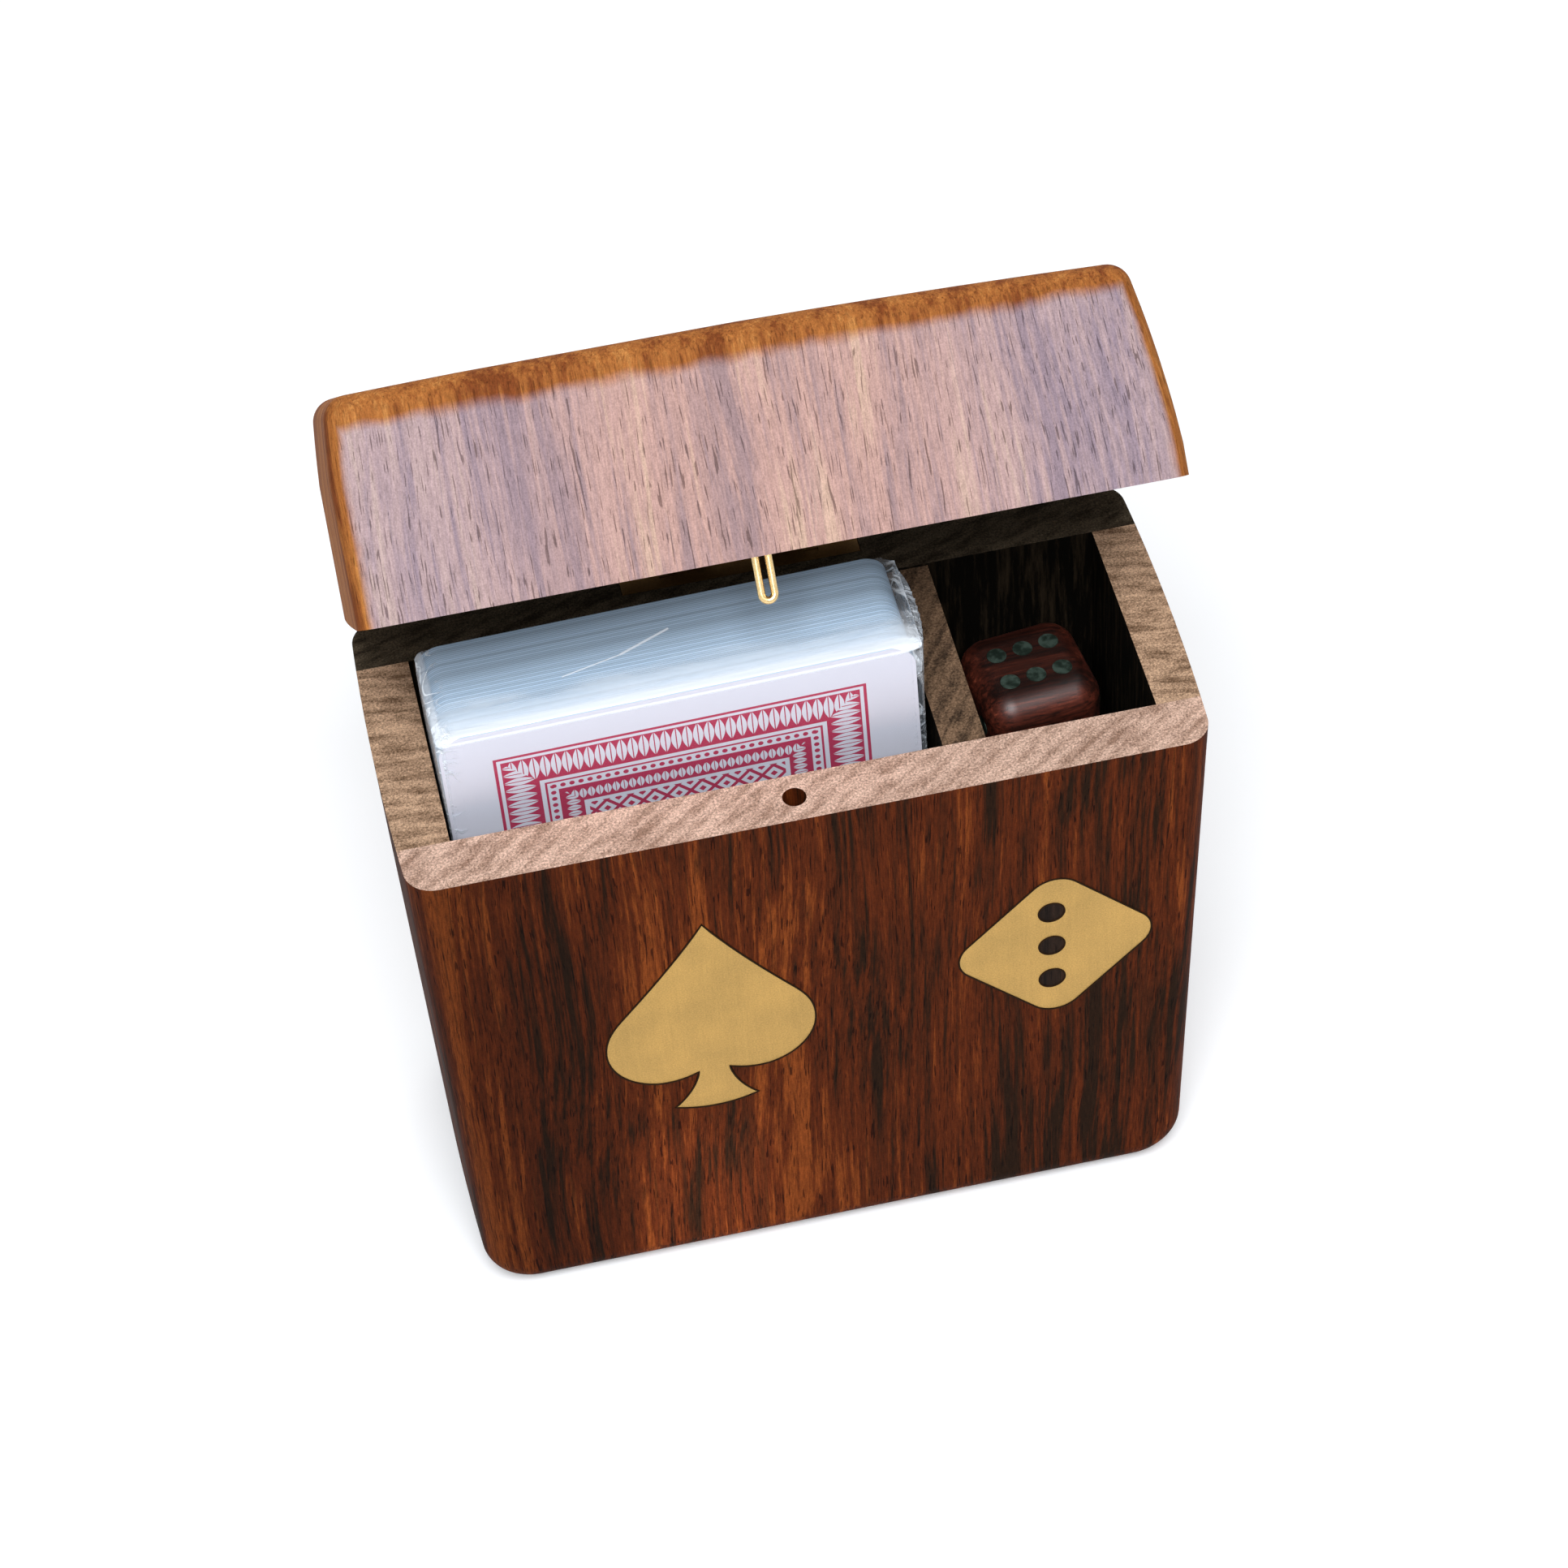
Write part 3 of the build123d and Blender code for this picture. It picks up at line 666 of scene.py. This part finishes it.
far_across = minus(tree, unsigned(tree, across), frame_half_width)
far_up = minus(tree, unsigned(tree, up), frame_half_height)
depth = times(tree, larger(tree, far_across, far_up), -1.0)
on_side = calculate(tree, "GREATER_THAN", far_across, far_up)
run = split(tree, blend_colours(tree, on_side, across, up))[0]


def leaves(start, end, pitch, fullness):
    """White pointed leaves that stand across a band of the frame."""
    step = minus(tree, calculate(tree, "FRACT", calculate(tree, "DIVIDE", run, pitch)), 0.5)
    aside = times(tree, unsigned(tree, step), 2.0)
    height = minus(tree, depth, (start + end) / 2)
    height = calculate(tree, "DIVIDE", height, (end - start) / 2)
    swell = minus(tree, 1.0, times(tree, height, height))
    leaf = calculate(tree, "LESS_THAN", aside, times(tree, swell, fullness))
    return times(tree, leaf, calculate(tree, "GREATER_THAN", aside, 0.1))


band_one = minus(tree, 1.0, leaves(0.9, 5.2, 1.45, 0.94))
band_one = times(tree, stripe(0.9, 5.2, depth), band_one)
band_two = minus(tree, 1.0, leaves(8.6, 10.6, 1.1, 0.9))
band_two = times(tree, stripe(8.6, 10.6, depth), band_two)

# the field inside the frame: a lattice of slanting lines with a bud in each gap
lattice_pitch = 3.2
rising = calculate(tree, "DIVIDE", plus(tree, across, up), lattice_pitch)
falling = calculate(tree, "DIVIDE", minus(tree, across, up), lattice_pitch)
rising = calculate(tree, "FRACT", rising)
falling = calculate(tree, "FRACT", falling)
lattice = larger(tree, stripe(0.0, 0.22, rising), stripe(0.0, 0.22, falling))
bud = times(tree, stripe(0.45, 0.77, rising), stripe(0.45, 0.77, falling))
in_field = calculate(tree, "GREATER_THAN", depth, 11.6)
field = times(tree, in_field, larger(tree, lattice, bud))

# the frame's lines, and a row of beads between the two bands
bead_pitch = 1.2
bead_line = 7.2
bead_radius = 0.36
ink = stripe(0.0, 0.42, depth)
for low, high in ((5.2, 5.6), (6.2, 6.5), (7.9, 8.6), (10.6, 11.0)):
    ink = larger(tree, ink, stripe(low, high, depth))
bead_step = calculate(tree, "FRACT", calculate(tree, "DIVIDE", run, bead_pitch))
bead_aside = times(tree, minus(tree, bead_step, 0.5), bead_pitch)
bead_height = minus(tree, depth, bead_line)
bead_reach = plus(tree, times(tree, bead_aside, bead_aside), times(tree, bead_height, bead_height))
ink = larger(tree, ink, calculate(tree, "LESS_THAN", bead_reach, bead_radius**2))
for part in (band_one, band_two, field):
    ink = larger(tree, ink, part)
on_back = calculate(tree, "LESS_THAN", split(tree, coordinates["Normal"])["Y"], -0.5)
ink = times(tree, ink, on_back)
printed = blend_colours(tree, ink, paint(226, 226, 238), paint(184, 24, 76))
plug(tree, shader.inputs["Base Color"], printed)
shader.inputs["Roughness"].default_value = 0.45
dress("top_card", material)


# ---------------------------------------------------------------- film round the deck
# Thin clear film, wrapped round the deck and folded over at both ends. It is tight
# on the faces and round at the edges, and it puffs out and crumples at the right end.
film_low, film_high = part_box("film_wrap")
film_middle = (film_low + film_high) / 2
wrap_width = 63.4 * mm
wrap_depth = 17.67 * mm
wrap_height = 88.4 * mm
tighter = 0.1 * mm
cling = 0.02 * mm
end_skin = 0.2 * mm
bpy.ops.mesh.primitive_cube_add(size=1.0)
film = bpy.context.object
film.name = "deck_film"
bpy.ops.object.mode_set(mode="EDIT")
bpy.ops.transform.resize(value=(wrap_width - tighter, wrap_depth - tighter, wrap_height - tighter))
bpy.ops.mesh.bevel(offset=1.1 * mm, segments=4, affect="EDGES")
bpy.ops.mesh.select_all(action="DESELECT")
bpy.ops.object.mode_set(mode="OBJECT")
bpy.context.tool_settings.mesh_select_mode = (False, False, True)
# each end is cut into a rough net, which is then held between the deck and its puff
for side, puff, seed in ((1, 2.3 * mm, 4), (-1, 0.08 * mm, 9)):
    for face in film.data.polygons:
        face.select = face.normal.x * side > 0.99
    bpy.ops.object.mode_set(mode="EDIT")
    bpy.ops.mesh.inset(thickness=0.7 * mm)
    bpy.ops.mesh.subdivide(number_cuts=9, fractal=0.8, seed=seed)
    bpy.ops.mesh.subdivide(number_cuts=3, fractal=1.0, seed=seed + 1)
    bpy.ops.mesh.select_all(action="DESELECT")
    bpy.ops.object.mode_set(mode="OBJECT")
    for corner in film.data.vertices:
        over = corner.co.x * side - 0.5 * wrap_width
        if over > -end_skin:
            rise = (corner.co.z / wrap_height + 0.5) ** 4
            middle = max(0.0, 1 - (2 * corner.co.y / wrap_depth) ** 2) ** 0.6
            over = rise * middle * (puff + over * 1.2) + cling
            corner.co.x = side * (0.5 * wrap_width + min(max(over, 0.0), puff))
            corner.co.y = min(max(corner.co.y, -0.5 * wrap_depth), 0.5 * wrap_depth)
            corner.co.z = min(max(corner.co.z, -0.5 * wrap_height), 0.5 * wrap_height)
film.rotation_euler = (0, -deck_lean, 0)
film.location = film_middle
bpy.ops.object.transform_apply(location=True, rotation=True, scale=True)
bpy.ops.object.shade_smooth_by_angle(angle=radians(28))

# the film itself is nearly clear: only its painted highlights, creases and a painted sky sheen
# over the front cover the deck
material, tree, shader, coordinates = start_material("clear film")
place = coordinates["Object"]
outward = split(tree, coordinates["Normal"])
x, y, _ = split(tree, place)
ripples = cloud(tree, stretch(tree, place, (0.16, 1.0, 1.0)), 300.0, 3.0, 0.55, 0.4)
crumple = cloud(tree, place, 420.0, 4.0, 0.6, 1.2)
from_middle = unsigned(tree, minus(tree, x, film_middle.x))
near_ends = between(tree, from_middle, 29.6 * mm, 31.4 * mm)
shader.inputs["Base Color"].default_value = paint(236, 243, 250)
shader.inputs["Roughness"].default_value = 0.14
shader.inputs["Specular IOR Level"].default_value = 0.9
facing_away = tree.nodes.new("ShaderNodeLayerWeight")
facing_away.inputs["Blend"].default_value = 0.3
on_top = between(tree, outward["Z"], 0.3, 0.8)
# painted sheen of the sky: the film turns whiter over the front part of the deck's top
rippled_y = plus(tree, y, times(tree, minus(tree, ripples, 0.5), 9 * mm))
front_sheen = between(tree, times(tree, rippled_y, -1.0), 4.5 * mm, 10.5 * mm)
front_sheen = times(tree, front_sheen, on_top)
# painted highlights: the film turns white on the crests of its crumples near the ends
crest_highlight = times(tree, between(tree, crumple, 0.6, 0.66), near_ends)


def crease(start, end, width):
    """1 along a straight crease in the film's top, faded at its sides."""
    length = (Vector(end) - Vector(start)).length
    course = (Vector(end) - Vector(start)).normalized()
    from_start = combine(tree, "SUBTRACT", place, start)
    run_along = tree.nodes.new("ShaderNodeVectorMath")
    run_along.operation = "DOT_PRODUCT"
    plug(tree, run_along.inputs[0], from_start)
    run_along.inputs[1].default_value = course
    beside = tree.nodes.new("ShaderNodeVectorMath")
    beside.operation = "DOT_PRODUCT"
    plug(tree, beside.inputs[0], from_start)
    beside.inputs[1].default_value = (-course.y, course.x, 0)
    thin = between(tree, unsigned(tree, beside.outputs["Value"]), width, 0.2 * width)
    within = calculate(tree, "GREATER_THAN", run_along.outputs["Value"], 0.0)
    before_end = calculate(tree, "LESS_THAN", run_along.outputs["Value"], length)
    within = times(tree, within, before_end)
    return times(tree, times(tree, thin, within), on_top)


fold_start = (-28.6 * mm, -5.2 * mm, 0)
fold_bend = (-20.6 * mm, -3.4 * mm, 0)
fold_end = (-13.6 * mm, -0.5 * mm, 0)
fold = larger(
    tree,
    crease(fold_start, fold_bend, 0.16 * mm),
    crease(fold_bend, fold_end, 0.3 * mm),
)
beyond = between(tree, from_middle, 31.3 * mm, 31.9 * mm)
# painted highlights: the film turns white along its fine wrinkles near the ends
wrinkle_highlight = unsigned(tree, minus(tree, cloud(tree, place, 170.0, 2.0, 0.5, 1.0), 0.5))
wrinkle_highlight = times(tree, between(tree, wrinkle_highlight, 0.03, 0.005), near_ends)

# a white highlight runs along the front top edge
facing_front = between(tree, outward["Y"], -0.12, -0.4)
shoulder = times(tree, between(tree, outward["Z"], 0.12, 0.4), facing_front)
front_edge = between(tree, y, film_low.y + 2.6 * mm, film_low.y + 1.0 * mm)
front_edge = times(tree, times(tree, front_edge, on_top), 0.7)
shoulder = larger(tree, shoulder, front_edge)
shoulder = times(tree, shoulder, between(tree, ripples, 0.3, 0.5))

cover = plus(tree, times(tree, facing_away.outputs["Facing"], 0.12), 0.02)
for share, mark in ((0.36, beyond), (0.6, wrinkle_highlight), (0.95, shoulder), (0.6, front_sheen), (0.3, crest_highlight)):
    cover = plus(tree, cover, times(tree, mark, share))
cover = calculate(tree, "ADD", cover, times(tree, fold, 0.8), clamp=True)
plug(tree, shader.inputs["Alpha"], cover)
relief = plus(tree, times(tree, crumple, near_ends), times(tree, ripples, 0.35))
bump(tree, shader, relief, 0.8, 0.9 * mm)
film.data.materials.clear()
film.data.materials.append(material)
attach(film, "box")
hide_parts("film_wrap")


# ---------------------------------------------------------------- floor, light and camera
# A plain white floor and a white sky all round, with one soft light high in front
# and a weaker one behind. Floor and sky look brighter than the light they give.
def seen_directly(tree):
    """1 for rays from the camera, off a gloss or through a clear piece, 0 for others."""
    rays = tree.nodes.new("ShaderNodeLightPath")
    seen = larger(tree, rays.outputs["Is Camera Ray"], rays.outputs["Is Glossy Ray"])
    return larger(tree, seen, rays.outputs["Is Transmission Ray"])


bpy.ops.mesh.primitive_plane_add(size=6.0)
floor = bpy.context.object
floor.name = "floor"
material, tree, shader, coordinates = start_material("white floor")
shader.inputs["Base Color"].default_value = (0.86, 0.86, 0.86, 1)
shader.inputs["Roughness"].default_value = 0.9
shader.inputs["Emission Color"].default_value = (1, 1, 1, 1)
floor_glow = times(tree, seen_directly(tree), 0.22)
plug(tree, shader.inputs["Emission Strength"], floor_glow)
floor.data.materials.append(material)

sky = bpy.data.worlds.new("sky")
bpy.context.scene.world = sky
sky.use_nodes = True
tree = sky.node_tree
seen = seen_directly(tree)
backdrop = tree.nodes["Background"]
sky_colour = blend_colours(tree, seen, (0.86, 0.93, 1.0, 1), (1, 1, 1, 1))
plug(tree, backdrop.inputs["Color"], sky_colour)
plug(tree, backdrop.inputs["Strength"], plus(tree, times(tree, seen, 0.7), 0.3))


def soft_light(name, place, aim, size, power, colour):
    """A square soft light that points at a place."""
    lamp = bpy.data.lights.new(name, "AREA")
    lamp.size = size
    lamp.energy = power
    lamp.color = colour
    holder = bpy.data.objects.new(name, lamp)
    bpy.context.collection.objects.link(holder)
    holder.location = place
    holder.rotation_euler = (Vector(aim) - Vector(place)).to_track_quat("-Z", "Y").to_euler()


soft_light("sky_overhead", (-0.12, -0.56, 1.02), (0, 0, 0.09), 0.55, 13.5, (0.95, 0.97, 1.0))
soft_light("sky_behind", (0.3, 1.2, 0.75), (0, 0, 0.07), 0.9, 6.0, (1.0, 0.97, 0.94))

# the photograph's camera: high in front, a little to the left, and slightly tilted
camera_turn = radians(-9.35)
camera_height = radians(47.70)
camera_roll = radians(-4.02)
camera_target = Vector((-3.80, -24.9, 94.38)) * mm
camera_distance = 629.57 * mm
lens = bpy.data.cameras.new("camera")
lens.sensor_width = 36.0
lens.lens = 112.77
camera = bpy.data.objects.new("camera", lens)
bpy.context.collection.objects.link(camera)
aim = Matrix.Rotation(camera_turn, 4, "Z") @ Matrix.Rotation(pi / 2 - camera_height, 4, "X")
roll = Matrix.Rotation(camera_roll, 4, "Z")
stand = Matrix.Translation(camera_target + aim @ Vector((0, 0, camera_distance)))
camera.matrix_world = stand @ aim @ roll
bpy.context.scene.camera = camera
bpy.context.scene.view_settings.view_transform = "Standard"
